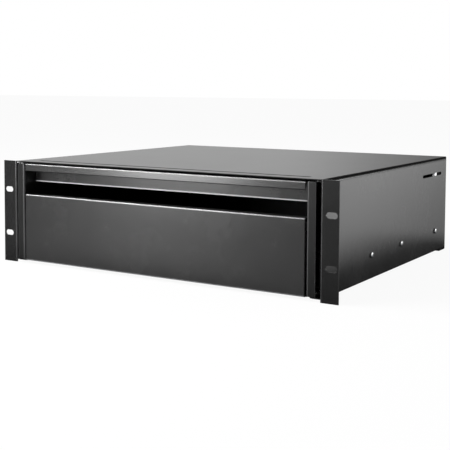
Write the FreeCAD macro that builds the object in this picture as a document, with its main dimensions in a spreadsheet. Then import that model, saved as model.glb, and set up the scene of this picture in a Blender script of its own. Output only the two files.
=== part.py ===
import FreeCAD, Part
import Sketcher
import os
import re

# A 3U sliding rack drawer, all in millimetres.
#
# The case is two bent side walls, each with its rack ear, under one sheet that is cover, back and
# rear foot. The drawer is a riveted tray between two ball-bearing telescopic slides.
#
# +X points to the right of someone who faces the drawer, +Y points back into the rack, +Z up.
# The origin is the centre of the four rack slots, on the front face of the ears.

document = FreeCAD.newDocument("rack_drawer")
sheet = document.addObject("Spreadsheet::Sheet", "Sizes")

DRIVING_SIZES = {
    # rack panel
    "panel_width": 482.6,
    "panel_height": 132.5,
    "slot_pitch_across": 465.1,
    "slot_pitch_up": 57.15,
    "slot_length": 13.6,
    "slot_width": 7.0,
    # case
    "case_width": 441.6,
    "case_depth": 406.0,
    "case_sheet": 1.5,
    "cover_sheet": 1.2,
    "case_bend": 0.8,
    "foot_height": 2.4,
    "foot_length": 24.0,
    "flange_width": 11.5,
    "bottom_flange_width": 16.5,
    "relief_depth": 2.2,
    "relief_web_inset": 0.7,
    "flange_nose": 7.0,
    "cover_inset": 0.8,
    "cover_lift": 0.8,
    "cover_notch_gap": 0.2,
    "cover_crease_setback": 23.5,
    "cover_crease_width": 1.4,
    "cover_crease_depth": 0.4,
    "cover_crease_inset": 24.0,
    # service slot at the rear of each side wall
    "service_slot_rear": 23.0,
    "service_slot_length": 74.0,
    "service_slot_width": 4.2,
    "service_slot_drop": 22.0,
    "nut_plate_length": 40.0,
    "nut_plate_height": 14.0,
    "nut_plate_sheet": 2.0,
    "nut_plate_rear": 5.0,
    "stud_setback": 49.0,
    "stud_radius": 2.0,
    # telescopic slides
    "slide_thickness": 14.0,
    "slide_height": 45.7,
    "slide_setback": 6.0,
    "slide_rear_gap": 4.0,
    "slide_rise": 31.5,
    "slide_sheet": 1.2,
    "slide_lip": 2.6,
    "slide_mouth_gap": 2.6,
    "middle_web_gap": 1.4,
    "middle_mouth_gap": 4.0,
    "inner_web_gap": 1.8,
    "ball_radius": 2.3,
    "ball_clearance": 0.3,
    "race_play": 0.05,
    "cage_sheet": 0.6,
    "cage_web_gap": 0.4,
    "cage_rim": 0.9,
    "cage_margin": 3.35,
    "cage_hole_clearance": 0.1,
    "bumper_length": 8.0,
    "bumper_gap": 0.3,
    "bumper_end": 1.0,
    "bumper_inset": 1.0,
    "travel_loss": 6.7,
    # drawer
    "drawer_sheet": 1.2,
    "drawer_bend": 0.8,
    "drawer_front": 2.0,
    "drawer_rear_gap": 10.0,
    "drawer_rise": 5.3,
    "drawer_drop": 2.8,
    "post_reach": 10.7,
    "post_corner": 2.0,
    "side_flange": 9.0,
    "side_rear_drop": 16.4,
    "side_slope_length": 66.0,
    "back_drop": 26.0,
    "fold_inset": 6.0,
    "fold_depth": 8.0,
    "panel_gap": 2.3,
    "panel_rise": 4.1,
    "panel_return": 14.0,
    "panel_side_return": 2.0,
    "hem_inset": 4.0,
    "hem_height": 7.0,
    "finger_opening": 15.5,
    "header_drop": 3.0,
    "header_height": 24.0,
    "header_lip": 9.1,
    "header_depth": 23.0,
    "header_ledge": 3.2,
    "header_ear_overlap": 8.0,
    "tab_length": 13.0,
    # fasteners
    "screw_radius": 2.0,
    "screw_head_radius": 3.6,
    "screw_head_height": 2.2,
    "screw_clearance": 0.1,
    "screw_rear_gap": 42.0,
    "screw_pitch_rear": 128.0,
    "screw_pitch_front": 96.0,
    "rivet_radius": 1.6,
    "rivet_head_radius": 3.0,
    "rivet_head_height": 1.0,
    "rivet_tail_height": 1.0,
}

for row, (alias, size) in enumerate(DRIVING_SIZES.items(), start=1):
    sheet.set(f"A{row}", alias)
    sheet.set(f"B{row}", str(size))
    sheet.setAlias(f"B{row}", alias)
document.recompute()

BALLS_PER_ROW = 2
SIDES = {"left": -1, "right": 1}

# Derived places, as expressions in the driving sizes.
PANEL_TOP = "panel_height / 2"
PANEL_BOTTOM = "-panel_height / 2"
CASE_OUTSIDE = "case_width / 2"
CASE_INSIDE = "(case_width / 2 - case_sheet)"
WALL_BOTTOM = "(foot_height - panel_height / 2)"
COVER_UNDERSIDE = "(panel_height / 2 - cover_sheet)"
WALL_TOP = "(panel_height / 2 - cover_sheet - cover_lift)"
WALL_FRONT = "(case_sheet + relief_depth)"
COVER_HALF = "(case_width / 2 - cover_inset)"
WALL_REAR = "(case_depth - cover_sheet)"
SLIDE_Z = "(slide_rise - panel_height / 2)"
SLIDE_REAR = "(case_depth - slide_rear_gap)"
MEMBER_REAR = f"({SLIDE_REAR} - bumper_end - bumper_length - bumper_gap)"
TRAVEL = f"({MEMBER_REAR} - slide_setback - travel_loss)"
DRAWER_OUTSIDE = f"({CASE_INSIDE} - slide_thickness)"
DRAWER_INSIDE = f"({DRAWER_OUTSIDE} - drawer_sheet)"
DRAWER_BOTTOM = "(drawer_rise - panel_height / 2)"
DRAWER_TOP = "(panel_height / 2 - drawer_drop)"
DRAWER_REAR = "(case_depth - drawer_rear_gap)"
FLOOR_TOP = f"({DRAWER_BOTTOM} + 2 * drawer_sheet)"
BACK_TOP = f"({DRAWER_TOP} - back_drop)"
HEADER_TOP = "(panel_height / 2 - header_drop)"
HEADER_BOTTOM = f"({HEADER_TOP} - header_height)"
FRONT_PANEL_TOP = f"({HEADER_BOTTOM} - finger_opening)"
PANEL_HALF = f"({DRAWER_INSIDE} - panel_gap)"
SERVICE_Z = "(panel_height / 2 - service_slot_drop)"
SERVICE_REAR = "(case_depth - service_slot_rear)"


# ---------------------------------------------------------------- modelling helpers

def bound(text):
    """Write the sheet's name in front of each size that an expression uses."""
    return re.sub(r"[a-z][a-z_]+", lambda word: "Sizes." + word.group(0), str(text))


def value(text):
    """Work out an expression in millimetres."""
    return float(sheet.evalExpression(str(text)))


def new_body(name):
    body = document.addObject("PartDesign::Body", name)
    body.Label = name
    return body


# The sketch plane across each axis, and the sign of that plane's normal along the axis.
PLANES = {"X": ("YZ_Plane", 1), "Y": ("XZ_Plane", -1), "Z": ("XY_Plane", 1)}


def new_sketch(body, name, axis, place):
    """Start a sketch across an axis, at a place along it."""
    role, sign = PLANES[axis]
    sketch = body.newObject("Sketcher::SketchObject", name)
    origin_plane = [item for item in body.Origin.OriginFeatures if item.Role == role][0]
    sketch.AttachmentSupport = [(origin_plane, "")]
    sketch.MapMode = "FlatFace"
    sketch.setExpression("AttachmentOffset.Base.z", bound(f"{sign} * ({place})"))
    return sketch


def pin_point(sketch, geometry, point, place):
    """Hold one point of a sketch's geometry at expressions measured from the sketch's origin."""
    for kind, text in zip(("DistanceX", "DistanceY"), place):
        index = sketch.addConstraint(Sketcher.Constraint(kind, -1, 1, geometry, point, value(text)))
        sketch.setExpression(f"Constraints[{index}]", bound(text))


def draw_outline(sketch, corners):
    """Draw a closed outline of straight lines through its corners."""
    places = [FreeCAD.Vector(value(across), value(up), 0) for across, up in corners]
    count = len(places)
    for index in range(count):
        line = Part.LineSegment(places[index], places[(index + 1) % count])
        sketch.addGeometry(line, False)
    for index in range(count):
        sketch.addConstraint(Sketcher.Constraint("Coincident", index, 2, (index + 1) % count, 1))
    for index, corner in enumerate(corners):
        pin_point(sketch, index, 1, corner)


def draw_circle(sketch, centre, radius):
    middle = FreeCAD.Vector(value(centre[0]), value(centre[1]), 0)
    upward = FreeCAD.Vector(0, 0, 1)
    circle = sketch.addGeometry(Part.Circle(middle, upward, value(radius)), False)
    index = sketch.addConstraint(Sketcher.Constraint("Radius", circle, value(radius)))
    sketch.setExpression(f"Constraints[{index}]", bound(radius))
    pin_point(sketch, circle, 3, centre)


def draw_slot(sketch, centre, length, width):
    """Draw a slot with round ends, along the sketch's own first direction."""
    across, up = (value(text) for text in centre)
    radius = value(width) / 2
    reach = value(length) / 2 - radius
    upward = FreeCAD.Vector(0, 0, 1)
    first = FreeCAD.Vector(across - reach, up, 0)
    last = FreeCAD.Vector(across + reach, up, 0)
    half_turn = 3.141592653589793
    start = Part.ArcOfCircle(Part.Circle(first, upward, radius), half_turn / 2, 3 * half_turn / 2)
    end = Part.ArcOfCircle(Part.Circle(last, upward, radius), -half_turn / 2, half_turn / 2)
    rise = FreeCAD.Vector(0, radius, 0)
    left_end = sketch.addGeometry(start, False)
    floor = sketch.addGeometry(Part.LineSegment(first - rise, last - rise), False)
    right_end = sketch.addGeometry(end, False)
    roof = sketch.addGeometry(Part.LineSegment(last + rise, first + rise), False)
    sketch.addConstraint(Sketcher.Constraint("Tangent", left_end, 2, floor, 1))
    sketch.addConstraint(Sketcher.Constraint("Tangent", floor, 2, right_end, 1))
    sketch.addConstraint(Sketcher.Constraint("Tangent", right_end, 2, roof, 1))
    sketch.addConstraint(Sketcher.Constraint("Tangent", roof, 2, left_end, 1))
    index = sketch.addConstraint(Sketcher.Constraint("Radius", left_end, radius))
    sketch.setExpression(f"Constraints[{index}]", bound(f"({width}) / 2"))
    run = f"(({length}) - ({width})) / 2"
    pin_point(sketch, left_end, 3, (f"({centre[0]}) - {run}", centre[1]))
    across_end = f"({centre[0]}) + {run}"
    index = sketch.addConstraint(
        Sketcher.Constraint("DistanceX", -1, 1, right_end, 3, value(across_end)))
    sketch.setExpression(f"Constraints[{index}]", bound(across_end))


def extrude(body, name, axis, start, end, draw, cut=False):
    """Add or cut what draw() sketches, from start to end along an axis."""
    before = None if body.Tip is None else body.Shape.Volume
    sketch = new_sketch(body, name + "_sketch", axis, start)
    draw(sketch)
    kind = "PartDesign::Pocket" if cut else "PartDesign::Pad"
    feature = body.newObject(kind, name)
    feature.Profile = sketch
    feature.setExpression("Length", bound(f"({end}) - ({start})"))
    along_normal = PLANES[axis][1] > 0
    feature.Reversed = along_normal == cut
    check(feature)
    if cut and not body.Shape.Volume < before - 1e-3:
        raise RuntimeError(f"{name} in {body.Label} cuts nothing")
    return feature


def plate(body, name, axis, start, end, corners):
    return extrude(body, name, axis, start, end, lambda sketch: draw_outline(sketch, corners))


def notch(body, name, axis, start, end, corners):
    return extrude(body, name, axis, start, end, lambda sketch: draw_outline(sketch, corners), True)


def rods(body, name, axis, start, end, centres, radius, cut=False):
    """Add or cut equal round rods along an axis."""
    def draw(sketch):
        for centre in centres:
            draw_circle(sketch, centre, radius)
    return extrude(body, name, axis, start, end, draw, cut)


def check(feature):
    """Stop at a feature that could not be made."""
    document.recompute()
    if not feature.isValid() or feature.Shape.isNull() or not feature.Shape.isValid():
        raise RuntimeError(f"{feature.Label} could not be made: {feature.getStatusString()}")


def rectangle(low_a, high_a, low_b, high_b):
    return [(low_a, low_b), (high_a, low_b), (high_a, high_b), (low_a, high_b)]


def edges_along(body, axis, places):
    """Name the straight edges that run along an axis through the given places across it."""
    along = "XYZ".index(axis)
    across = [index for index in range(3) if index != along]
    wanted = [[value(text) for text in place] for place in places]
    names = []
    for number, edge in enumerate(body.Shape.Edges, start=1):
        if edge.Curve.TypeId != "Part::GeomLine":
            continue
        first, last = (vertex.Point for vertex in edge.Vertexes)
        if max(abs(first[index] - last[index]) for index in across) > 1e-4:
            continue
        for place in wanted:
            if max(abs(first[index] - spot) for index, spot in zip(across, place)) < 1e-3:
                names.append(f"Edge{number}")
    if not names:
        raise RuntimeError(f"no edge of {body.Label} runs along {axis} at {wanted}")
    return names


def round_edges(body, name, axis, places, radius):
    """Round the edges that run along an axis through the given places."""
    names = edges_along(body, axis, places)
    base = body.Tip
    feature = body.newObject("PartDesign::Fillet", name)
    feature.Base = (base, names)
    feature.setExpression("Radius", bound(radius))
    check(feature)
    return feature


def sided(side, low, high):
    """Give a span in X for one side of the object, from a span measured out from its middle."""
    if side > 0:
        return f"({low})", f"({high})"
    return f"(-({high}))", f"(-({low}))"


def mirrored(side, corners):
    """Place corners that are measured out from the middle on one side of the object."""
    return [(f"{side} * ({across})", other) for across, other in corners]


# ---------------------------------------------------------------- case

def side_wall(name, side):
    """One bent sheet: wall, rack ear, and flanges along its top, bottom and rear edges."""
    body = new_body(name)
    ear_inside = f"({CASE_INSIDE})"
    ear_outside = "(panel_width / 2)"
    low, high = sided(side, ear_inside, ear_outside)
    plate(body, "ear", "Y", "0", "case_sheet", rectangle(low, high, PANEL_BOTTOM, PANEL_TOP))
    outside = f"{side} * {CASE_OUTSIDE}"
    inside = f"{side} * {CASE_INSIDE}"
    low, high = sided(side, CASE_INSIDE, CASE_OUTSIDE)
    plate(body, "neck", "X", low, high,
          rectangle("0", WALL_FRONT,
                    f"{WALL_BOTTOM} + case_bend + case_sheet",
                    f"{WALL_TOP} - case_bend - case_sheet"))
    round_edges(body, "ear_bend", "Z", [(inside, "0")], "case_bend + case_sheet")
    round_edges(body, "ear_inner_bend", "Z", [(outside, "case_sheet")], "case_bend")

    # The wall and its long flanges start behind a relief notch at each end of the ear's bend.
    tip = f"({CASE_INSIDE} - flange_width)"
    bottom_tip = f"({CASE_INSIDE} - bottom_flange_width)"
    corners = [(CASE_OUTSIDE, WALL_BOTTOM), (CASE_OUTSIDE, WALL_TOP), (tip, WALL_TOP),
               (tip, f"{WALL_TOP} - case_sheet"), (CASE_INSIDE, f"{WALL_TOP} - case_sheet"),
               (CASE_INSIDE, f"{WALL_BOTTOM} + case_sheet"),
               (bottom_tip, f"{WALL_BOTTOM} + case_sheet"), (bottom_tip, WALL_BOTTOM)]
    plate(body, "wall", "Y", WALL_FRONT, WALL_REAR, mirrored(side, corners))
    low, high = sided(side, tip, CASE_INSIDE)
    plate(body, "rear_flange", "Y", f"{WALL_REAR} - case_sheet", WALL_REAR,
          rectangle(low, high, WALL_BOTTOM, WALL_TOP))
    round_edges(body, "flange_noses", "Z",
                [(f"{side} * {tip}", WALL_FRONT), (f"{side} * {bottom_tip}", WALL_FRONT)],
                "flange_nose")
    round_edges(body, "long_bends", "Y", [(outside, WALL_BOTTOM), (outside, WALL_TOP)],
                "case_bend + case_sheet")
    round_edges(body, "rear_bend", "Z", [(outside, WALL_REAR)], "case_bend + case_sheet")
    low, high = sided(side, CASE_INSIDE, f"{CASE_INSIDE} + case_sheet / 2")
    bend = "case_bend + case_sheet"
    plate(body, "lower_relief_web", "Y", "case_sheet", WALL_FRONT,
          rectangle(low, high, f"{WALL_BOTTOM} + relief_web_inset", f"{WALL_BOTTOM} + {bend}"))
    plate(body, "upper_relief_web", "Y", "case_sheet", WALL_FRONT,
          rectangle(low, high, f"{WALL_TOP} - ({bend})", f"{WALL_TOP} - relief_web_inset"))

    def slots(sketch):
        for sign in (-1, 1):
            centre = (f"{side} * slot_pitch_across / 2", f"{sign} * slot_pitch_up / 2")
            draw_slot(sketch, centre, "slot_length", "slot_width")
    extrude(body, "rack_slots", "Y", "-1", "case_sheet + 1", slots, cut=True)
    low, high = sided(side, f"{CASE_INSIDE} - 1", f"{COVER_HALF} + cover_notch_gap")
    notch(body, "cover_notch", "Y", "-1", "case_sheet + 1",
          rectangle(low, high, f"{COVER_UNDERSIDE} - cover_notch_gap", "panel_height"))

    low, high = sided(side, f"{CASE_INSIDE} - 1", f"{CASE_OUTSIDE} + 1")

    def service_slot(sketch):
        centre = (f"{SERVICE_REAR} - service_slot_length / 2", SERVICE_Z)
        draw_slot(sketch, centre, "service_slot_length", "service_slot_width")
    extrude(body, "service_slot", "X", low, high, service_slot, cut=True)
    rods(body, "slide_screw_holes", "X", low, high, SCREW_CENTRES,
         "screw_radius + screw_clearance", cut=True)
    rods(body, "cover_rivet_holes", "Y", f"{WALL_REAR} - case_sheet - 1", f"{WALL_REAR} + 1",
         [place for place in COVER_RIVETS if value(place[0]) * side > 0], RIVET_HOLE, cut=True)
    return body


REAR_SCREW = f"({SLIDE_REAR} - screw_rear_gap)"
MIDDLE_SCREW = f"({REAR_SCREW} - screw_pitch_rear)"
FRONT_SCREW = f"({MIDDLE_SCREW} - screw_pitch_front)"
SCREW_CENTRES = [(place, SLIDE_Z) for place in (FRONT_SCREW, MIDDLE_SCREW, REAR_SCREW)]


def cover():
    """One sheet that is folded down behind the case and hemmed forward under it as a foot."""
    body = new_body("top_and_back_cover")
    low, high = f"(-{COVER_HALF})", COVER_HALF
    plate(body, "back", "Y", WALL_REAR, "case_depth",
          rectangle(low, high, PANEL_BOTTOM, PANEL_TOP))
    plate(body, "top", "Z", COVER_UNDERSIDE, PANEL_TOP, rectangle(low, high, "0", "case_depth"))
    plate(body, "foot", "Z", PANEL_BOTTOM, WALL_BOTTOM,
          rectangle(low, high, "case_depth - foot_length", "case_depth"))
    round_edges(body, "outer_bends", "X",
                [("case_depth", PANEL_TOP), ("case_depth", PANEL_BOTTOM)],
                "case_bend + cover_sheet")
    crease_half = "(case_width / 2 - cover_crease_inset)"
    notch(body, "crease", "Z", "panel_height / 2 - cover_crease_depth", "panel_height / 2 + 1",
          rectangle(f"-{crease_half}", crease_half,
                    "cover_crease_setback - cover_crease_width / 2",
                    "cover_crease_setback + cover_crease_width / 2"))
    rods(body, "rivet_holes", "Y", f"{WALL_REAR} - 1", "case_depth + 1", COVER_RIVETS,
         RIVET_HOLE, cut=True)
    return body


def nut_plate(name, side):
    """A zinc strip behind the service slot, with a threaded stud that stands in the slot."""
    body = new_body(name)
    rear = f"({SERVICE_REAR} + nut_plate_rear)"
    low, high = sided(side, f"{CASE_INSIDE} - nut_plate_sheet", CASE_INSIDE)
    plate(body, "strip", "X", low, high,
          rectangle(f"{rear} - nut_plate_length", rear,
                    f"{SERVICE_Z} - nut_plate_height / 2", f"{SERVICE_Z} + nut_plate_height / 2"))
    low, high = sided(side, f"{CASE_INSIDE} - nut_plate_sheet", CASE_OUTSIDE)
    rods(body, "stud", "X", low, high, [("case_depth - stud_setback", SERVICE_Z)], "stud_radius")
    return body


# ---------------------------------------------------------------- screws and rivets

def pan_screws(name, placements):
    """Pan-head screws along X: (side, wall face under the head, depth of the shank, y, z)."""
    body = new_body(name)
    for number, (side, face, depth, along, up) in enumerate(placements):
        low, high = sided(side, f"{face} - {depth}", face)
        rods(body, f"shank_{number}", "X", low, high, [(along, up)], "screw_radius")
        low, high = sided(side, face, f"{face} + screw_head_height")
        rods(body, f"head_{number}", "X", low, high, [(along, up)], "screw_head_radius")
        top = value(f"{side} * ({face} + screw_head_height)")
        rim = [f"Edge{index}" for index, edge in enumerate(body.Shape.Edges, start=1)
               if edge.Curve.TypeId == "Part::GeomCircle"
               and abs(edge.Curve.Center.x - top) < 1e-4
               and abs(edge.Curve.Center.y - value(along)) < 1e-4
               and abs(edge.Curve.Radius - value("screw_head_radius")) < 1e-4]
        base = body.Tip
        rim_slope = body.newObject("PartDesign::Chamfer", f"rim_{number}")
        rim_slope.Base = (base, rim)
        rim_slope.setExpression("Size", bound("0.4 * screw_head_height"))
        check(rim_slope)
    return body


def rivets(name, axis, groups):
    """Flat-headed rivets along an axis: (head face, sign of the head side, grip, centres)."""
    body = new_body(name)
    for number, (face, sign, grip, centres) in enumerate(groups):
        def span(near, far):
            """Measure a span away from the head's face, into the joint when positive."""
            first = f"({face} - {sign} * ({near}))"
            last = f"({face} - {sign} * ({far}))"
            return (last, first) if sign > 0 else (first, last)
        low, high = span("-rivet_head_height", "0")
        rods(body, f"head_{number}", axis, low, high, centres, "rivet_head_radius")
        low, high = span("0", f"{grip} + rivet_tail_height")
        rods(body, f"shank_{number}", axis, low, high, centres, "rivet_radius")
    return body


# ---------------------------------------------------------------- telescopic slides

OUTER_HALF = "(slide_height / 2)"
RACE_GAP = "(2 * ball_radius + race_play)"
MIDDLE_HALF = f"({OUTER_HALF} - slide_sheet - {RACE_GAP})"
INNER_HALF = f"({MIDDLE_HALF} - slide_sheet - {RACE_GAP})"
OUTER_BALL_RISE = f"({OUTER_HALF} - slide_sheet - {RACE_GAP} / 2)"
INNER_BALL_RISE = f"({MIDDLE_HALF} - slide_sheet - {RACE_GAP} / 2)"
MIDDLE_WEB = "(slide_sheet + middle_web_gap)"
INNER_MOUTH = f"({MIDDLE_WEB} + slide_sheet + inner_web_gap)"
MIDDLE_MOUTH = "(slide_thickness - middle_mouth_gap)"
OUTER_BALL_REACH = f"(({MIDDLE_WEB} + {MIDDLE_MOUTH}) / 2)"
INNER_BALL_REACH = f"(({INNER_MOUTH} + {MIDDLE_MOUTH}) / 2)"


def from_wall(side, corners):
    """Place corners given as (distance in from the case wall, height from the slide's middle)."""
    return [(f"{side} * ({CASE_INSIDE} - ({inward}))", f"{SLIDE_Z} + ({up})")
            for inward, up in corners]


def channel(web, back, mouth, half):
    """Outline of a C channel: its web lies between web and back, its flanges run to mouth."""
    inner = f"({half} - slide_sheet)"
    return [(web, f"-{half}"), (mouth, f"-{half}"), (mouth, f"-{inner}"), (back, f"-{inner}"),
            (back, inner), (mouth, inner), (mouth, half), (web, half)]


def ball_race(body, name, side, reach, rise, rear):
    """Cut the two grooves in which the balls run."""
    centres = from_wall(side, [(reach, rise), (reach, f"-{rise}")])
    rods(body, name, "Y", "slide_setback - 1", f"{rear} + 1", centres,
         "ball_radius + ball_clearance", cut=True)


def outer_member(name, side):
    """The case half of a slide: a lipped C channel on the case wall, open towards the drawer."""
    body = new_body(name)
    mouth = "(slide_thickness - slide_mouth_gap)"
    lip_half = f"({OUTER_HALF} - slide_lip)"
    inner = f"({OUTER_HALF} - slide_sheet)"
    lip = f"({mouth} - slide_sheet)"
    corners = [("0", f"-{OUTER_HALF}"), (mouth, f"-{OUTER_HALF}"), (mouth, f"-{lip_half}"),
               (lip, f"-{lip_half}"), (lip, f"-{inner}"), ("slide_sheet", f"-{inner}"),
               ("slide_sheet", inner), (lip, inner), (lip, lip_half), (mouth, lip_half),
               (mouth, OUTER_HALF), ("0", OUTER_HALF)]
    plate(body, "channel", "Y", "slide_setback", SLIDE_REAR, from_wall(side, corners))
    bends = [("0", OUTER_HALF), ("0", f"-{OUTER_HALF}"), (mouth, OUTER_HALF),
             (mouth, f"-{OUTER_HALF}")]
    round_edges(body, "bends", "Y", from_wall(side, bends), "slide_sheet")
    ball_race(body, "race", side, OUTER_BALL_REACH, OUTER_BALL_RISE, SLIDE_REAR)
    low, high = sided(side, f"{CASE_INSIDE} - slide_sheet - 0.2", f"{CASE_INSIDE} + 1")
    rods(body, "screw_holes", "X", low, high, SCREW_CENTRES,
         "screw_radius + screw_clearance", cut=True)
    return body


def middle_member(name, side):
    """The travelling channel between the two ball rows."""
    body = new_body(name)
    back = f"({MIDDLE_WEB} + slide_sheet)"
    plate(body, "channel", "Y", "slide_setback", MEMBER_REAR,
          from_wall(side, channel(MIDDLE_WEB, back, MIDDLE_MOUTH, MIDDLE_HALF)))
    bends = [(MIDDLE_WEB, MIDDLE_HALF), (MIDDLE_WEB, f"-{MIDDLE_HALF}")]
    round_edges(body, "bends", "Y", from_wall(side, bends), "slide_sheet")
    ball_race(body, "outer_race", side, OUTER_BALL_REACH, OUTER_BALL_RISE, MEMBER_REAR)
    ball_race(body, "inner_race", side, INNER_BALL_REACH, INNER_BALL_RISE, MEMBER_REAR)
    return body


RIVET_CENTRES = [(f"(slide_setback + {part} * ({MEMBER_REAR} - slide_setback))", SLIDE_Z)
                 for part in ("0.2", "0.8")]


def inner_member(name, side):
    """The drawer half of a slide: a C channel riveted to the drawer's side, open to the case."""
    body = new_body(name)
    corners = channel("slide_thickness", "(slide_thickness - slide_sheet)", INNER_MOUTH, INNER_HALF)
    plate(body, "channel", "Y", "slide_setback", MEMBER_REAR, from_wall(side, corners))
    bends = [("slide_thickness", INNER_HALF), ("slide_thickness", f"-{INNER_HALF}")]
    round_edges(body, "bends", "Y", from_wall(side, bends), "slide_sheet")
    ball_race(body, "race", side, INNER_BALL_REACH, INNER_BALL_RISE, MEMBER_REAR)
    low, high = sided(side, f"{DRAWER_OUTSIDE} - 1", f"{DRAWER_OUTSIDE} + slide_sheet + 0.2")
    rods(body, "rivet_holes", "X", low, high, RIVET_CENTRES,
         RIVET_HOLE, cut=True)
    return body


CAGE_LENGTH = f"({MEMBER_REAR} - slide_setback - {TRAVEL} / 2 - 2 * cage_margin)"
# At rest each cage stands back from the slide's front by its own share of the travel.
CAGE_FRONT = f"(slide_setback + {TRAVEL} / 4 + cage_margin)"


def ball_places():
    """Where the balls of a row stand along their cage."""
    pitch = f"{CAGE_LENGTH} / {BALLS_PER_ROW}"
    return [f"({CAGE_FRONT} + ({number} + 0.5) * {pitch})" for number in range(BALLS_PER_ROW)]


def ball_cage(name, side, web, reach, rise):
    """A stamped retainer: two drilled strips that hold the balls, joined by a web."""
    body = new_body(name)
    edge = f"({rise} + cage_sheet / 2)"
    inner = f"({rise} - cage_sheet / 2)"
    back = f"({web} + cage_sheet)"
    mouth = f"({reach} + ball_radius + cage_rim)"
    corners = [(web, f"-{edge}"), (mouth, f"-{edge}"), (mouth, f"-{inner}"), (back, f"-{inner}"),
               (back, inner), (mouth, inner), (mouth, edge), (web, edge)]
    plate(body, "strip", "Y", CAGE_FRONT, f"{CAGE_FRONT} + {CAGE_LENGTH}",
          from_wall(side, corners))
    centres = [(f"{side} * ({CASE_INSIDE} - {reach})", place) for place in ball_places()]
    rods(body, "ball_holes", "Z", f"{SLIDE_Z} - {edge} - 1", f"{SLIDE_Z} + {edge} + 1", centres,
         "ball_radius + cage_hole_clearance", cut=True)
    return body


def ball_set(name, side, reach, rise):
    """The balls of one cage, each its own solid."""
    spheres = []
    for row, sign in (("upper", 1), ("lower", -1)):
        for number, place in enumerate(ball_places()):
            ball = document.addObject("Part::Sphere", f"{name}_{row}_{number}")
            ball.setExpression("Radius", bound("ball_radius"))
            centre = (f"{side} * ({CASE_INSIDE} - {reach})", place, f"{SLIDE_Z} + {sign} * {rise}")
            for letter, text in zip("xyz", centre):
                ball.setExpression(f"Placement.Base.{letter}", bound(text))
            spheres.append(ball)
    group = document.addObject("Part::Compound", name)
    group.Label = name
    group.Links = spheres
    return group


def bumper(name, side):
    """The rubber block at the rear of a slide, which the drawer closes against."""
    body = new_body(name)
    rear = f"({SLIDE_REAR} - bumper_end)"
    half = f"({INNER_HALF} - bumper_inset)"
    corners = [("slide_sheet", f"-{half}"), ("slide_thickness - slide_mouth_gap", f"-{half}"),
               ("slide_thickness - slide_mouth_gap", half), ("slide_sheet", half)]
    plate(body, "block", "Y", f"{rear} - bumper_length", rear, from_wall(side, corners))
    face = from_wall(side, [("slide_thickness - slide_mouth_gap", half),
                            ("slide_thickness - slide_mouth_gap", f"-{half}")])
    round_edges(body, "soft_corners", "Y", face, "bumper_length / 5")
    return body


# ---------------------------------------------------------------- drawer

def drawer_side(name, side):
    """One bent sheet: the side, the post that turns outward at its front, and two flanges."""
    body = new_body(name)
    front = "(-drawer_front)"
    behind_post = f"({front} + drawer_sheet)"
    rear_top = f"({DRAWER_TOP} - side_rear_drop)"
    slope_start = f"({DRAWER_REAR} - side_slope_length)"
    low, high = sided(side, DRAWER_INSIDE, DRAWER_OUTSIDE)
    plate(body, "side", "X", low, high,
          [(behind_post, DRAWER_BOTTOM), (DRAWER_REAR, DRAWER_BOTTOM), (DRAWER_REAR, rear_top),
           (slope_start, DRAWER_TOP), (behind_post, DRAWER_TOP)])
    inner = f"({DRAWER_INSIDE} - side_flange)"
    low, high = sided(side, inner, DRAWER_INSIDE)
    plate(body, "top_flange", "Z", f"{DRAWER_TOP} - drawer_sheet", DRAWER_TOP,
          rectangle(low, high, "header_depth + tab_length", slope_start))
    plate(body, "bottom_flange", "Z", DRAWER_BOTTOM, f"{DRAWER_BOTTOM} + drawer_sheet",
          rectangle(low, high, "drawer_sheet", DRAWER_REAR))
    inside = f"{side} * {DRAWER_INSIDE}"
    tip = f"{side} * ({DRAWER_INSIDE} + post_reach)"
    low, high = sided(side, DRAWER_INSIDE, f"{DRAWER_INSIDE} + post_reach")
    plate(body, "post", "Y", front, behind_post,
          rectangle(low, high, DRAWER_BOTTOM, DRAWER_TOP))
    round_edges(body, "post_bend", "Z", [(inside, front)], "drawer_bend + drawer_sheet")
    round_edges(body, "post_corner", "Y", [(tip, DRAWER_TOP)], "post_corner")
    low, high = sided(side, f"{DRAWER_INSIDE} - 1", f"{DRAWER_OUTSIDE} + 1")
    rods(body, "slide_rivet_holes", "X", low, high, RIVET_CENTRES,
         RIVET_HOLE, cut=True)
    rods(body, "header_rivet_holes", "X", low, high, HEADER_RIVETS,
         RIVET_HOLE, cut=True)
    rods(body, "back_rivet_holes", "X", low, high, BACK_RIVETS, RIVET_HOLE, cut=True)
    rods(body, "floor_rivet_holes", "Z", f"{DRAWER_BOTTOM} - 1", f"{FLOOR_TOP} + 1",
         [place for place in FRONT_FLOOR_RIVETS + REAR_FLOOR_RIVETS
          if value(place[0]) * side > 0], RIVET_HOLE, cut=True)
    return body


HEADER_BACK = "(header_depth - drawer_front)"
HEADER_RIVETS = [(f"({HEADER_BACK} + tab_length * 0.55)",
                  f"({HEADER_BOTTOM} + {part} * header_height)")
                 for part in ("0.3", "0.7")]
BACK_RIVETS = [(f"({DRAWER_REAR} - tab_length * 0.55)",
                f"({FLOOR_TOP} + {part} * ({BACK_TOP} - {FLOOR_TOP}))")
               for part in ("0.58", "0.88")]
FLANGE_MIDDLE = f"({DRAWER_INSIDE} - side_flange / 2)"
FRONT_FLOOR_RIVETS = [(f"{side} * {FLANGE_MIDDLE}", "panel_return / 2")
                      for side in SIDES.values()]
REAR_FLOOR_RIVETS = [(f"{side} * {FLANGE_MIDDLE}", place) for side in SIDES.values()
                     for place in ("case_depth / 2", f"{DRAWER_REAR} - 24")]
COVER_RIVETS = [(f"{side} * ({CASE_INSIDE} - flange_width / 2)", height)
                for side in SIDES.values()
                for height in ("-0.3 * panel_height", "0.3 * panel_height")]
RIVET_HOLE = "rivet_radius + screw_clearance"


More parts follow.
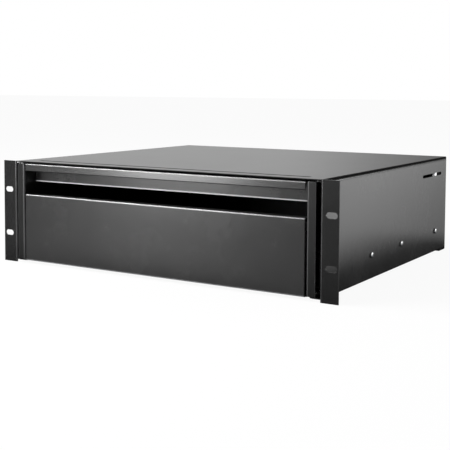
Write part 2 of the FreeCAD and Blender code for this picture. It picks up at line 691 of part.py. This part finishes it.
def drawer_floor():
    """A flat sheet that lies on the sides' bottom flanges, joggled down onto the front panel."""
    body = new_body("drawer_floor")
    inside = DRAWER_INSIDE
    low = f"({DRAWER_BOTTOM} + drawer_sheet)"
    plate(body, "floor", "Z", low, FLOOR_TOP,
          rectangle(f"-{inside}", inside, "drawer_sheet", DRAWER_REAR))
    rods(body, "rivet_holes", "Z", f"{low} - 1", f"{FLOOR_TOP} + 1",
         FRONT_FLOOR_RIVETS + REAR_FLOOR_RIVETS, RIVET_HOLE, cut=True)
    return body


def drawer_back():
    """The rear wall of the tray, with tabs on the sides, a foot on the floor and a folded top."""
    body = new_body("drawer_back")
    top = BACK_TOP
    front = f"({DRAWER_REAR} - drawer_sheet)"
    inside = DRAWER_INSIDE
    plate(body, "wall", "Y", front, DRAWER_REAR, rectangle(f"-{inside}", inside, FLOOR_TOP, top))
    plate(body, "foot", "Z", FLOOR_TOP, f"{FLOOR_TOP} + drawer_sheet",
          rectangle(f"-{inside}", inside, f"{front} - tab_length", DRAWER_REAR))
    plate(body, "fold", "Z", f"{top} - drawer_sheet", top,
          rectangle(f"-({inside} - fold_inset)", f"({inside} - fold_inset)",
                    f"{front} - fold_depth", DRAWER_REAR))
    round_edges(body, "top_bend", "X", [(DRAWER_REAR, top)], "0.8 * drawer_sheet")
    for side_name, side in SIDES.items():
        low, high = sided(side, f"{inside} - drawer_sheet", inside)
        plate(body, f"{side_name}_tab", "X", low, high,
              rectangle(f"{DRAWER_REAR} - tab_length", DRAWER_REAR,
                        FLOOR_TOP, f"{top} - 2 * drawer_sheet"))
    rods(body, "rivet_holes", "X", f"-({inside} + 1)", f"({inside} + 1)", BACK_RIVETS,
         RIVET_HOLE, cut=True)
    return body


def front_panel():
    """The pan-shaped front: its face, a top return, side returns and a foot under the floor."""
    body = new_body("front_panel")
    front = "(-drawer_front)"
    low_z = "(panel_rise - panel_height / 2)"
    high_z = FRONT_PANEL_TOP
    half = PANEL_HALF
    plate(body, "face", "Y", front, f"{front} + drawer_sheet",
          rectangle(f"-{half}", half, low_z, high_z))
    plate(body, "top_return", "Z", f"{high_z} - drawer_sheet", high_z,
          rectangle(f"-{half}", half, front, f"{front} + panel_return"))
    plate(body, "top_hem", "Y", f"{front} + panel_return - drawer_sheet", f"{front} + panel_return",
          rectangle(f"-({half} - hem_inset)", f"({half} - hem_inset)",
                    f"{high_z} - hem_height", high_z))
    plate(body, "foot", "Z", low_z, DRAWER_BOTTOM,
          rectangle(f"-{half}", half, front, f"{front} + panel_return"))
    for side_name, side in SIDES.items():
        low, high = sided(side, f"{half} - drawer_sheet", half)
        plate(body, f"{side_name}_return", "X", low, high,
              rectangle(front, f"{front} + panel_side_return", low_z, high_z))
    round_edges(body, "face_bends", "X", [(front, high_z), (front, low_z)],
                "drawer_bend + drawer_sheet / 2")
    rods(body, "rivet_holes", "Z", f"{low_z} - 1", f"{DRAWER_BOTTOM} + 1", FRONT_FLOOR_RIVETS,
         RIVET_HOLE, cut=True)
    return body


def header_rail():
    """The rail over the finger opening: a short front lip, a web, a rear leg and a lower ledge."""
    body = new_body("header_rail")
    front = "(-drawer_front)"
    back = HEADER_BACK
    top = HEADER_TOP
    lip_bottom = f"({HEADER_TOP} - header_lip)"
    bottom = HEADER_BOTTOM
    half = PANEL_HALF
    corners = [(front, lip_bottom), (f"{front} + drawer_sheet", lip_bottom),
               (f"{front} + drawer_sheet", f"{top} - drawer_sheet"),
               (f"{back} - drawer_sheet", f"{top} - drawer_sheet"),
               (f"{back} - drawer_sheet", f"{bottom} + drawer_sheet"),
               (f"{back} - header_ledge", f"{bottom} + drawer_sheet"),
               (f"{back} - header_ledge", bottom), (back, bottom), (back, top), (front, top)]
    plate(body, "rail", "X", f"-{half}", half, corners)
    round_edges(body, "rail_bends", "X", [(front, top), (back, top), (back, bottom)],
                "drawer_bend + drawer_sheet / 2")
    for side_name, side in SIDES.items():
        low, high = sided(side, f"{half} - header_ear_overlap", DRAWER_INSIDE)
        tab_top = f"{top} - 1.5 * drawer_sheet"
        plate(body, f"{side_name}_ear", "Y", f"{back} - drawer_sheet", back,
              rectangle(low, high, bottom, tab_top))
        low, high = sided(side, f"{DRAWER_INSIDE} - drawer_sheet", DRAWER_INSIDE)
        plate(body, f"{side_name}_tab", "X", low, high,
              rectangle(f"{back} - drawer_sheet", f"{back} + tab_length", bottom, tab_top))
    low, high = f"-({DRAWER_INSIDE} + 1)", f"({DRAWER_INSIDE} + 1)"
    rods(body, "rivet_holes", "X", low, high, HEADER_RIVETS,
         RIVET_HOLE, cut=True)
    return body


# ---------------------------------------------------------------- assembly

parts = []
for word, side in SIDES.items():
    parts.append(side_wall(f"{word}_side_wall", side))
    parts.append(nut_plate(f"{word}_nut_plate", side))
    parts.append(outer_member(f"{word}_slide_outer_member", side))
    parts.append(bumper(f"{word}_slide_bumper", side))
    parts.append(pan_screws(f"{word}_slide_screws",
                            [(side, CASE_OUTSIDE, "(case_sheet + slide_sheet)", along, up)
                             for along, up in SCREW_CENTRES]))
    outer = ("slide_sheet + cage_web_gap", OUTER_BALL_REACH, OUTER_BALL_RISE)
    inner = (f"{MIDDLE_WEB} + slide_sheet + cage_web_gap", INNER_BALL_REACH, INNER_BALL_RISE)
    for place, (web, reach, rise) in (("outer", outer), ("inner", inner)):
        parts.append(ball_cage(f"{word}_{place}_ball_cage", side, web, reach, rise))
        parts.append(ball_set(f"{word}_{place}_balls", side, reach, rise))
    parts.append(middle_member(f"{word}_slide_middle_member", side))
    parts.append(inner_member(f"{word}_slide_inner_member", side))
    parts.append(drawer_side(f"drawer_{word}_side", side))
parts.append(cover())
parts.append(drawer_floor())
parts.append(drawer_back())
parts.append(front_panel())
parts.append(header_rail())

two_sheets = "(2 * drawer_sheet)"
slide_grip = "(drawer_sheet + slide_sheet)"
slide_groups = [(f"{side} * {DRAWER_INSIDE}", -side, slide_grip, RIVET_CENTRES)
                for side in SIDES.values()]
side_groups = [(f"{side} * {DRAWER_OUTSIDE}", side, two_sheets, HEADER_RIVETS + BACK_RIVETS)
               for side in SIDES.values()]
parts.append(rivets("slide_rivets", "X", slide_groups))
parts.append(rivets("drawer_side_rivets", "X", side_groups))
floor_groups = [(FLOOR_TOP, 1, "(2 * drawer_sheet + drawer_rise - panel_rise)", FRONT_FLOOR_RIVETS),
                (FLOOR_TOP, 1, two_sheets, REAR_FLOOR_RIVETS)]
parts.append(rivets("drawer_floor_rivets", "Z", floor_groups))
parts.append(rivets("cover_rivets", "Y",
                    [("case_depth", 1, "(cover_sheet + case_sheet)", COVER_RIVETS)]))
document.recompute()

for item in document.Objects:
    if "Invalid" in item.State or "Error" in item.State:
        raise RuntimeError(f"{item.Label} has failed: {item.State}")
for part in parts:
    if part.Shape.isNull() or not part.Shape.isValid():
        raise RuntimeError(f"{part.Label} has no valid shape")

os.makedirs("parts", exist_ok=True)
for part in parts:
    part.Shape.exportStep(f"parts/{part.Label}.step")
    print(f"{part.Label:32s} {len(part.Shape.Solids):3d} solids {part.Shape.Volume:12.1f} mm3")
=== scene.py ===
from math import cos, pi, radians, sin

import bpy
from mathutils import Euler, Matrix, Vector


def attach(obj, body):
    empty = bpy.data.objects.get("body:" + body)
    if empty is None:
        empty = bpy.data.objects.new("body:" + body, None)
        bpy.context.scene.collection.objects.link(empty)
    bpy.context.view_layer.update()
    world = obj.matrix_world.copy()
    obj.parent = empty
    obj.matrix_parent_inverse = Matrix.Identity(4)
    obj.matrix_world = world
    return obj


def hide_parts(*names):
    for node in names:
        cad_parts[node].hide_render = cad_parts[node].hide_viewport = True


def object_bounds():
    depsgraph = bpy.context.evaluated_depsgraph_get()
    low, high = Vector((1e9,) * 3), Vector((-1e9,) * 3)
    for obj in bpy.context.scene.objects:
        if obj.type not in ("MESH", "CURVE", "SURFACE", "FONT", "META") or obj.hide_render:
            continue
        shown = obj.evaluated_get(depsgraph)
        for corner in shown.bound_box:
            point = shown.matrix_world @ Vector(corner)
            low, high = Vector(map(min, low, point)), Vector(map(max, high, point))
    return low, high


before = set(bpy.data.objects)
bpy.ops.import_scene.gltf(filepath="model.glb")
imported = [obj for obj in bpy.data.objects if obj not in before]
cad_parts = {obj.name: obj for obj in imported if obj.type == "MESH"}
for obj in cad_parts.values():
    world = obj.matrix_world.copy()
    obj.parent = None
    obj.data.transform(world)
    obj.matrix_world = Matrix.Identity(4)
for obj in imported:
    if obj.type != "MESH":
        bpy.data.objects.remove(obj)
cad_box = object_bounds()
low, high = cad_box


# ---- Studio
# A pale floor under an even sky, with soft light banks in front, above and behind to the right.
# The floor keeps the drawer's shadow, and where it shows in the black coat a painted shade darkens
# it near the drawer.

class Nodes:
    """Adds the nodes of one material or world."""

    def __init__(self, tree):
        self.tree = tree
        tree.nodes.clear()

    def add(self, kind, settings=None, **inputs):
        """Add a node: its own settings first, then values or links for its sockets."""
        node = self.tree.nodes.new(kind)
        for name, setting in (settings or {}).items():
            setattr(node, name, setting)
        for name, given in inputs.items():
            wanted = name.replace("_", " ").lower()
            socket = next(item for item in node.inputs
                          if item.enabled and item.name.lower() == wanted)
            self.join(socket, given)
        return node

    def join(self, socket, given):
        """Link a socket to a value or another socket, or set it to a plain number or colour."""
        if isinstance(given, Value):
            given = given.socket
        if isinstance(given, bpy.types.NodeSocket):
            self.tree.links.new(given, socket)
        else:
            socket.default_value = given

    def value(self, node, output=0):
        return Value(self, node.outputs[output])

    def noise(self, place, scale, detail=2.0, roughness=0.5):
        """Cloudy noise about 0.5, fixed to the piece."""
        return self.value(self.add("ShaderNodeTexNoise", Vector=place, Scale=scale,
                                   Detail=detail, Roughness=roughness))

    def mix(self, factor, first, second):
        """Blend two colours."""
        node = self.add("ShaderNodeMix", {"data_type": "RGBA"})
        for index, given in ((0, factor), (6, first), (7, second)):
            self.join(node.inputs[index], given)
        return node.outputs[2]

    def finish(self, shader):
        self.add("ShaderNodeOutputMaterial", Surface=shader.outputs[0])


class Value:
    """A number that changes over a surface, written in sums like a plain number."""

    def __init__(self, nodes, socket):
        self.nodes = nodes
        self.socket = socket

    def math(self, operation, *others, clamp=False):
        node = self.nodes.add("ShaderNodeMath", {"operation": operation, "use_clamp": clamp})
        for socket, given in zip(node.inputs, (self, *others)):
            self.nodes.join(socket, given)
        return self.nodes.value(node)

    def __add__(self, other):
        return self.math("ADD", other)

    def __sub__(self, other):
        return self.math("SUBTRACT", other)

    def __mul__(self, other):
        return self.math("MULTIPLY", other)

    __radd__ = __add__
    __rmul__ = __mul__

    def __rsub__(self, other):
        return self * -1 + other

    def __abs__(self):
        return self.math("ABSOLUTE")

    def most(self, other):
        """The larger of two."""
        return self.math("MAXIMUM", other)

    def above(self, edge, width):
        """0 below the edge, 1 above it, with a soft step of that width."""
        return ((self - edge) * (1 / width)).math("ADD", 0.5, clamp=True)

    def below(self, edge, width):
        """1 below the edge, 0 above it."""
        return 1 - self.above(edge, width)


def grey(level, blue=0.0):
    """A grey colour, and a slightly colder one where blue is given."""
    return (level, level, level + blue, 1.0)


def new_material(name):
    material = bpy.data.materials.new(name)
    material.use_nodes = True
    return material, Nodes(material.node_tree)


def place_on(nodes, kind="Object"):
    """The x, y and z of a point in the drawer's own frame, and the point itself."""
    place = nodes.add("ShaderNodeTexCoord").outputs[kind]
    parts = nodes.add("ShaderNodeSeparateXYZ", Vector=place)
    return [nodes.value(parts, index) for index in range(3)] + [place]


floor_half = 15.0
floor_mesh = bpy.data.meshes.new("floor")
corners = [(x * floor_half, y * floor_half, low.z)
           for x, y in ((-1, -1), (1, -1), (1, 1), (-1, 1))]
floor_mesh.from_pydata(corners, [], [(0, 1, 2, 3)])
floor = bpy.data.objects.new("floor", floor_mesh)
bpy.context.scene.collection.objects.link(floor)

# In the coat's reflections the floor carries a painted shade beside the drawer and painted light
# away from it, most of all to the right and in one patch at the front left. The eye sees it white,
# except under the open case.
floor_material, nodes = new_material("white_floor")
across, back, _, _ = place_on(nodes)
beside = (abs(across) - high.x).most(0.0)
beyond = (abs(back - high.y / 2) - high.y / 2).most(0.0)
away = (beside * beside + beyond * beyond).math("SQRT")
front = (back * -1).above(-0.1, 0.3)
right_side = (across - 0.3 * back).above(0.22, 0.2) * 0.68 + 0.32
left_patch = abs(across - 0.73 * back).below(0.14, 0.22) * 0.8 + 0.12
bright = right_side * (1 - front) + front * left_patch
# painted reflection: painted shade beside the drawer, painted light in patches away from it
painted_floor_reflection = nodes.mix(away.above(0.092, 0.125) * bright, grey(0.03), grey(1.0))
light_path = nodes.add("ShaderNodeLightPath")
seen = nodes.value(light_path, "Is Camera Ray")
mirrored = nodes.value(light_path, "Is Glossy Ray")
under_case = abs(across).below(0.205, 0.01) * back.above(0.06, 0.04) * back.below(0.39, 0.01)
floor_shade = nodes.add("ShaderNodeBsdfDiffuse", Color=grey(0.9))
floor_glow = nodes.add("ShaderNodeEmission", Strength=1.0,
                       Color=nodes.mix(seen, painted_floor_reflection, grey(1.0)))
floor_mix = nodes.add("ShaderNodeMixShader", Fac=seen * (1 - under_case) * 0.93 + mirrored)
nodes.join(floor_mix.inputs[1], floor_shade.outputs[0])
nodes.join(floor_mix.inputs[2], floor_glow.outputs[0])
nodes.finish(floor_mix)
floor_mesh.materials.append(floor_material)

# The sky is white to the eye. In the coat it is dark in front and overhead and bright at the
# sides, and it lights the drawer evenly at under half strength.
world = bpy.data.worlds.new("white_studio")
world.use_nodes = True
nodes = Nodes(world.node_tree)
light_path = nodes.add("ShaderNodeLightPath")
seen = nodes.value(light_path, "Is Camera Ray")
mirrored = nodes.value(light_path, "Is Glossy Ray")
across, back, up, _ = place_on(nodes, "Generated")
front = (back * -1).above(-0.1, 0.3)
right = across.above(0.1, 0.2)
overhead = up.above(0.45, 0.3) * 0.75 * (1 - right) + up.above(0.20, 0.3) * 0.7 * right
sides = abs(across).above(0.38, 0.14) * 0.68 + 0.32
bright = (sides * (1 - front) + front * 0.18) * (1 - overhead)
even_light = (1 - mirrored) * (1 - seen) * 0.45
sky = nodes.mix(mirrored * bright + seen + even_light, grey(0.0), grey(1.0))
background = nodes.add("ShaderNodeBackground", Color=sky, Strength=1.0)
nodes.add("ShaderNodeOutputWorld", Surface=background.outputs[0])
bpy.context.scene.world = world


def light_bank(name, place, target, width, height, power):
    """A soft rectangular light that points at a target."""
    light = bpy.data.lights.new(name, "AREA")
    light.shape = "RECTANGLE"
    light.size = width
    light.size_y = height
    light.energy = power
    bank = bpy.data.objects.new(name, light)
    bank.location = place
    bank.rotation_euler = (Vector(target) - Vector(place)).to_track_quat("-Z", "Y").to_euler()
    bank.visible_camera = False
    bpy.context.scene.collection.objects.link(bank)


centre = (low + high) / 2
light_bank("front_bank", (-0.56, -0.88, 0.22), (0.0, 0.0, 0.05), 0.28, 0.56, 4.4)
light_bank("rear_bank", (2.0, 2.0, 0.25), centre, 1.4, 0.6, 17.0)
light_bank("top_bank", (-1.25, -0.7, 1.5), centre, 1.3, 0.35, 43.0)

camera_data = bpy.data.cameras.new("camera")
camera_data.lens = 75.79
camera_data.sensor_width = 36.0
camera_data.shift_x = 0.0010
camera_data.shift_y = -0.1750
camera = bpy.data.objects.new("camera", camera_data)
camera.location = (0.6576, -0.9056, 0.1648)
pitch_down, turn_left, roll = 0.0635, 0.5526, radians(0.27)
camera.rotation_euler = (Euler((pi / 2 - pitch_down, 0.0, turn_left)).to_matrix()
                         @ Euler((0.0, 0.0, roll)).to_matrix()).to_euler()
bpy.context.scene.collection.objects.link(camera)
bpy.context.scene.camera = camera
bpy.context.scene.view_settings.view_transform = "Standard"


# ---- Side walls
# Each wall is one mild steel sheet, bent outward into a rack ear at the front and inward into
# flanges, and powder coated black. The coat is smoothest on the wall's flat outer face.

def powder_coat(name, dark, pale, roughness, gloss, peel, edge=0.0006, bends="upright",
                glaze=0.0, bend_highlight=0.0, mottle=0.13, marks=None):
    """A black powder coat: fine grains over a slow swell, and clouds where the coat is thicker.

    Its edges are rounded. Upright or level bends are glazed and painted paler as a painted
    highlight. Marks take and give back its colour, dullness and gloss, for places that differ."""
    material, nodes = new_material(name)
    across, back, up, place = place_on(nodes)
    grains = nodes.noise(place, 1500.0, 2.0, 0.6)
    swell = nodes.noise(place, 420.0)
    cloud = nodes.noise(place, 17.0, 2.5, 0.5)
    speck = nodes.noise(place, 2600.0, 1.0).above(0.66, 0.06)
    rounded = nodes.add("ShaderNodeBevel", {"samples": 8}, Radius=edge)
    bump = nodes.add("ShaderNodeBump", Height=grains * 0.6 + swell * 0.4, Strength=peel,
                     Distance=0.0003, Normal=rounded.outputs[0])
    colour = nodes.mix(cloud * 0.7 + speck * 0.6, grey(dark), grey(pale))
    dull = cloud * mottle + grains * 0.05 + (roughness - mottle / 2 - 0.025)
    glossy = 0.0
    if glaze:
        facing = nodes.add("ShaderNodeSeparateXYZ", Vector=rounded.outputs[0])
        turned = nodes.value(facing, 0 if bends == "upright" else 2) * nodes.value(facing, 1)
        bend = abs(turned).above(0.10, 0.12)
        glossy = bend * glaze
        # painted highlight: the bends are painted paler where light would catch them
        colour = nodes.mix(bend * bend_highlight, colour, grey(0.30, blue=0.01))
    if marks:
        colour, dull, glossy = marks(nodes, across, back, up, colour, dull, glossy)
    nodes.finish(nodes.add("ShaderNodeBsdfPrincipled", Base_Color=colour, Roughness=dull,
                           Specular_IOR_Level=gloss, Coat_Weight=glossy, Coat_Roughness=0.18,
                           Normal=bump.outputs[0]))
    return material


def finish_node(node, material):
    """Give a carried-over piece its finish."""
    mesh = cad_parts[node].data
    mesh.materials.clear()
    mesh.materials.append(material)


def smooth_wall(nodes, across, back, up, colour, dull, glossy):
    """The wall's outer face, behind its ear and under its top bend, is smooth."""
    ear_back, top_bend = 0.008, 0.0612
    face = back.above(ear_back, 0.004) * up.below(top_bend, 0.002)
    return colour, dull, glossy.most(face * 0.7)


# painted highlight: the walls' upright bends, the ear bends among them, are painted slightly paler
wall_coat = powder_coat("case_black_coat", 0.009, 0.014, 0.26, 0.50, 0.12, edge=0.0003,
                        glaze=0.8, bend_highlight=0.1, marks=smooth_wall)
for side in ("left", "right"):
    finish_node(f"{side}_side_wall", wall_coat)


# ---- Cover
# One steel sheet makes the top, the back and the rear foot, with a shallow crease behind its
# front edge. Its coat is even on the flat and duller before the crease, and its cut edges at the
# front and the sides are painted near black as painted shade.

def crease_and_shaded_edges(nodes, across, back, up, colour, dull, glossy):
    """A dull line in front of the crease, and painted shade on the cut edges at the front and the
    sides.
    """
    crease_back, crease_half_length, cover_half_width = 0.0205, 0.1968, 0.2193
    creased = (abs(back - crease_back).below(0.0030, 0.0012)
               * abs(across).below(crease_half_length, 0.002))
    # painted shade: the cover's front and side cut edges are painted near black for the shadow gaps
    # there
    cut = back.below(0.0010, 0.0006).most(abs(across).above(cover_half_width, 0.0004))
    return nodes.mix(cut, colour, grey(0.001)), (dull + creased * 0.55).most(cut * 0.95), glossy


finish_node("top_and_back_cover",
            powder_coat("cover_black_coat", 0.010, 0.015, 0.30, 0.52, 0.12, edge=0.0002,
                        mottle=0.02, marks=crease_and_shaded_edges))


# ---- Front panel
# A shallow pan of steel sheet with a rounded hem along its top, where a painted highlight makes the
# coat paler.
# Its coat is greyer and softer than the case's.

# painted highlight: the level bends, the top hem most, are painted paler
panel_coat = powder_coat("panel_black_coat", 0.023, 0.031, 0.26, 0.60, 0.12, edge=0.0014,
                         bends="level", glaze=1.0, bend_highlight=0.6)
finish_node("front_panel", panel_coat)


# ---- Header rail
# A folded rail over the finger opening, with a lip in front, a leg set back and a ledge under it.
# The lip is glossy where fingers reach over it, and a dark line along its lower edge is painted
# shade. The ledge carries a pale painted highlight.

def lip_gloss_shade_and_ledge_highlight(nodes, across, back, up, colour, dull, glossy):
    """A glossy lip with painted shade along its lower edge, and a painted highlight on the ledge.
    """
    lip_bottom, lip_back, ledge_top, ledge_front = 0.0542, 0.001, 0.0408, 0.0192
    lip = up.above(lip_bottom, 0.0002) * back.below(lip_back, 0.001) * 0.8
    # painted shade: a near black line painted under the lip
    cut = up.below(0.0550, 0.0004) * up.above(0.0530, 0.0004) * back.below(0.0050, 0.001)
    # painted highlight: the ledge's nose painted pale grey
    ledge_highlight = up.below(ledge_top, 0.0003) * back.below(ledge_front, 0.0003)
    colour = nodes.mix(ledge_highlight, colour, grey(0.80, blue=0.01))
    return (nodes.mix(cut, colour, grey(0.001)), dull.most(cut * 0.95),
            glossy.most(lip) * (1 - cut))


# painted highlight: the rail's level bends are painted paler
header_coat = powder_coat("header_black_coat", 0.023, 0.031, 0.26, 0.60, 0.12, edge=0.0010,
                          bends="level", glaze=1.0, bend_highlight=0.4, marks=lip_gloss_shade_and_ledge_highlight)
finish_node("header_rail", header_coat)


# ---- Drawer sides, floor and back
# Steel sheets riveted into a tray, coated like the case but painted darker as painted shade for the
# drawer's inside. Each side turns outward at its front into the upright post beside the panel.

# painted shade: this coat is darker than the case's; painted highlight: its upright bends are
# painted paler
tray_coat = powder_coat("inner_black_coat", 0.006, 0.010, 0.32, 0.50, 0.15, edge=0.0010,
                        glaze=1.0, bend_highlight=0.15)
for piece in ("left_side", "right_side", "floor", "back"):
    finish_node(f"drawer_{piece}", tray_coat)


# ---- Slide channels
# Three nested channels on each side, rolled from steel strip with lipped ball races. A thin black
# coat covers them.

channel_coat = powder_coat("slide_black_coat", 0.004, 0.008, 0.42, 0.35, 0.05)
for side in ("left", "right"):
    for channel in ("outer", "middle", "inner"):
        finish_node(f"{side}_slide_{channel}_member", channel_coat)


# ---- Ball cages
# Two strips in each slide, stamped from thin steel and plated in dull zinc. They hold the balls
# at their distance between the channels.

def metal(name, level, roughness, grain):
    """Bare or plated metal, slightly cold in colour, with a fine grain and faint stains."""
    material, nodes = new_material(name)
    *_, place = place_on(nodes)
    spangle = nodes.noise(place, grain, 3.0)
    stain = nodes.noise(place, 60.0, 3.0)
    colour = (level, level + 0.01, level + 0.02, 1.0)
    stained = tuple(channel * 0.82 for channel in colour[:3]) + (1.0,)
    nodes.finish(nodes.add("ShaderNodeBsdfPrincipled", Metallic=1.0,
                           Base_Color=nodes.mix(stain, colour, stained),
                           Roughness=spangle * 0.12 + stain * 0.06 + roughness))
    return material


dull_zinc = metal("dull_zinc_plate", 0.56, 0.27, 900.0)
for side in ("left", "right"):
    for row in ("outer", "inner"):
        finish_node(f"{side}_{row}_ball_cage", dull_zinc)


# ---- Balls
# Ground and polished bearing steel. They sit in the cages' pockets and run in the races of the
# channels.

ball_steel = metal("polished_ball_steel", 0.75, 0.04, 400.0)
for side in ("left", "right"):
    for row in ("outer", "inner"):
        finish_node(f"{side}_{row}_balls", ball_steel)


# ---- Rear stops
# A moulded black rubber block at the rear end of each outer channel. It stops the drawer softly
# when it is pushed in.

rubber, nodes = new_material("black_rubber")
*_, place = place_on(nodes)
skin = nodes.noise(place, 700.0, 3.0)
bump = nodes.add("ShaderNodeBump", Height=skin, Strength=0.2, Distance=0.0002)
nodes.finish(nodes.add("ShaderNodeBsdfPrincipled", Roughness=skin * 0.2 + 0.6,
                       Base_Color=nodes.mix(skin, grey(0.012), grey(0.022)),
                       Normal=bump.outputs[0]))
for side in ("left", "right"):
    finish_node(f"{side}_slide_bumper", rubber)


# ---- Rivets
# Solid steel rivets join the folded sheets and hold the slides' inner channels to the drawer. Each
# has a low domed head on one side, an upset tail on the other, and black paint over both.

def stand(place, outward, points):
    """Stand points at a place on a sheet, with their own up pointing outward from it."""
    lay = Vector((0.0, 0.0, 1.0)).rotation_difference(Vector(outward)).to_matrix()
    return [Vector(place) + lay @ Vector(point) for point in points]


def turned(name, profile, spots, steps=48):
    """Pieces turned to a profile of (height, radius), each stood at a place and pointed outward."""
    turns = [2 * pi * step / steps for step in range(steps)]
    rings = [(radius * cos(turn), radius * sin(turn), height)
             for height, radius in profile for turn in turns]
    points, faces = [], []
    for place, outward in spots:
        first = len(points)
        points += stand(place, outward, rings)
        for start in range(first, first + len(rings) - steps, steps):
            for step in range(steps):
                after = (step + 1) % steps
                faces.append((start + step, start + after, start + steps + after,
                              start + steps + step))
        last = first + len(rings) - steps
        faces.append([first + step for step in reversed(range(steps))])
        faces.append([last + step for step in range(steps)])
    mesh = bpy.data.meshes.new(name)
    mesh.from_pydata(points, [], faces)
    mesh.shade_smooth()
    mesh.set_sharp_from_angle(angle=radians(38))
    piece = bpy.data.objects.new(name, mesh)
    bpy.context.scene.collection.objects.link(piece)
    return piece


rivet_paint = powder_coat("black_rivet_paint", 0.020, 0.030, 0.30, 0.6, 0.03)
rivet_shank, rivet_head, dome_height = 0.0016, 0.0030, 0.0010
tail_end, tail_radius, tail_height = 0.0021, 0.0023, 0.0010
dome = [(dome_height * sin(turn), rivet_head * cos(turn))
        for turn in (0.0, 0.25, 0.5, 0.75, 1.0, 1.2, 1.4)]
slide_line = -0.03475
cover_grip, sheet_grip, panel_grip = 0.0037, 0.0034, 0.0046
cover_back, cover_rivet_across, cover_rivet_up = 0.406, 0.21355, 0.03975
drawer_inside, drawer_outside = 0.2041, 0.2053
floor_top, floor_rivet_across = -0.05855, 0.1996
rivet_rows = {
    "cover_rivets": ("case", [
        (cover_grip, (side * cover_rivet_across, cover_back, up * cover_rivet_up), (0, 1, 0))
        for side in (-1, 1) for up in (-1, 1)]),
    "slide_rivets": ("drawer", [
        (sheet_grip, (side * drawer_inside, back, slide_line), (-side, 0, 0))
        for side in (-1, 1) for back in (0.08334, 0.31536)]),
    "drawer_side_rivets": ("drawer", [
        (sheet_grip, (side * drawer_outside, back, up), (side, 0, 0))
        for side in (-1, 1) for back, up in ((0.02815, 0.04645), (0.02815, 0.05605),
                                             (0.38885, -0.00287), (0.38885, 0.02593))]),
    "drawer_floor_rivets": ("drawer", [
        (grip, (side * floor_rivet_across, back, floor_top), (0, 0, 1))
        for side in (-1, 1)
        for grip, back in ((panel_grip, 0.007), (sheet_grip, 0.203), (sheet_grip, 0.372))]),
}
for node, (body, rivets) in rivet_rows.items():
    for length in sorted({rivet[0] for rivet in rivets}):
        profile = [(-length, tail_end), (tail_height - length, tail_radius),
                   (tail_height - length, rivet_shank), (0.0, rivet_shank)] + dome
        spots = [(place, outward) for grip, place, outward in rivets if grip == length]
        piece = turned(f"domed_{node}_{round(length * 1e4)}", profile, spots)
        piece.data.materials.append(rivet_paint)
        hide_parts(node)
        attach(piece, body)


# ---- Slide screws
# Three pan head screws in bright zinc hold each slide's outer channel to its side wall. Each
# head has a cross recess for the driver.

def cut_recess(piece, outline, depth, top, spots):
    """Cut a tapered prism of that outline into each of a piece's spots, from the top down."""
    count = len(outline)
    prism = [(x * shrink, y * shrink, height)
             for height, shrink in ((top - depth, 0.55), (top + 0.0005, 1.0)) for x, y in outline]
    points, faces = [], []
    for place, outward in spots:
        first = len(points)
        points += stand(place, outward, prism)
        faces.append([first + corner for corner in reversed(range(count))])
        faces.append([first + count + corner for corner in range(count)])
        for corner in range(count):
            after = (corner + 1) % count
            faces.append((first + corner, first + after, first + count + after,
                          first + count + corner))
    mesh = bpy.data.meshes.new("driver_recess")
    mesh.from_pydata(points, [], faces)
    cutter = bpy.data.objects.new("driver_recess", mesh)
    bpy.context.scene.collection.objects.link(cutter)
    cut = piece.modifiers.new("driver_recess", "BOOLEAN")
    cut.operation = "DIFFERENCE"
    cut.object = cutter
    bpy.context.view_layer.update()
    carved = bpy.data.meshes.new_from_object(piece.evaluated_get(
        bpy.context.evaluated_depsgraph_get()))
    piece.modifiers.remove(cut)
    piece.data = carved
    bpy.data.objects.remove(cutter)


bright_zinc = metal("bright_zinc_plate", 0.85, 0.12, 1400.0)
wall_outside, screw_backs = 0.2208, (0.136, 0.232, 0.360)
head_radius, head_rise, screw_shank, screw_depth = 0.0036, 0.0022, 0.0020, 0.0027
pan_head = [(-screw_depth, screw_shank), (0.0, screw_shank), (0.0, 0.0034), (0.0002, head_radius),
            (0.0012, head_radius), (0.0016, 0.0035), (0.0019, 0.0032), (0.0021, 0.0026),
            (head_rise, 0.0018), (head_rise, 0.0008)]
recess_depth, arm, half_width = 0.0014, 0.0021, 0.00042
cross = []
for x, y in ((1, 1), (-1, 1), (-1, -1), (1, -1)):
    inner, upright, level = (half_width, half_width), (half_width, arm), (arm, half_width)
    corner = (level, inner, upright) if x == y else (upright, inner, level)
    cross += [(x * a, y * b) for a, b in corner]
for side, sign in (("left", -1), ("right", 1)):
    spots = [((sign * wall_outside, back, slide_line), (sign, 0, 0)) for back in screw_backs]
    screws = turned(f"{side}_pan_head_screws", pan_head, spots)
    cut_recess(screws, cross, recess_depth, head_rise, spots)
    screws.data.materials.append(bright_zinc)
    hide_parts(f"{side}_slide_screws")
    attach(screws, "case")


# ---- Nut strips
# A black steel strip lies inside each side wall behind the rear slot. A bright nut block with a
# threaded stud is pressed into it and fills the slot's width, to take a support bracket.

stud_back, stud_up, stud_radius, thread_pitch = 0.357, 0.04425, 0.0020, 0.0007
block_back, block_half_length = 0.3605, 0.0080
strip_finish, nodes = new_material("black_strip_with_bright_nut")
across, back, up, place = place_on(nodes)
behind_stud, over_stud = back - stud_back, up - stud_up
from_axis = (behind_stud * behind_stud + over_stud * over_stud).math("SQRT")
block = abs(back - block_back).below(block_half_length, 0.0003)
stain = nodes.noise(place, 300.0, 3.0)
thread = ((across * (2 * pi / thread_pitch)).math("SINE")
          * from_axis.above(stud_radius - 0.0002, 0.0003)
          * from_axis.below(stud_radius + 0.00015, 0.0001))
bump = nodes.add("ShaderNodeBump", Height=thread + stain * 0.2, Strength=0.5, Distance=0.0001)
nodes.finish(nodes.add("ShaderNodeBsdfPrincipled", Metallic=block, Specular_IOR_Level=0.05,
                       Base_Color=nodes.mix(block, grey(0.004), grey(0.92, blue=0.01)),
                       Roughness=stain * 0.15 + 0.70 - block * 0.42, Normal=bump.outputs[0]))
for side in ("left", "right"):
    finish_node(f"{side}_nut_plate", strip_finish)
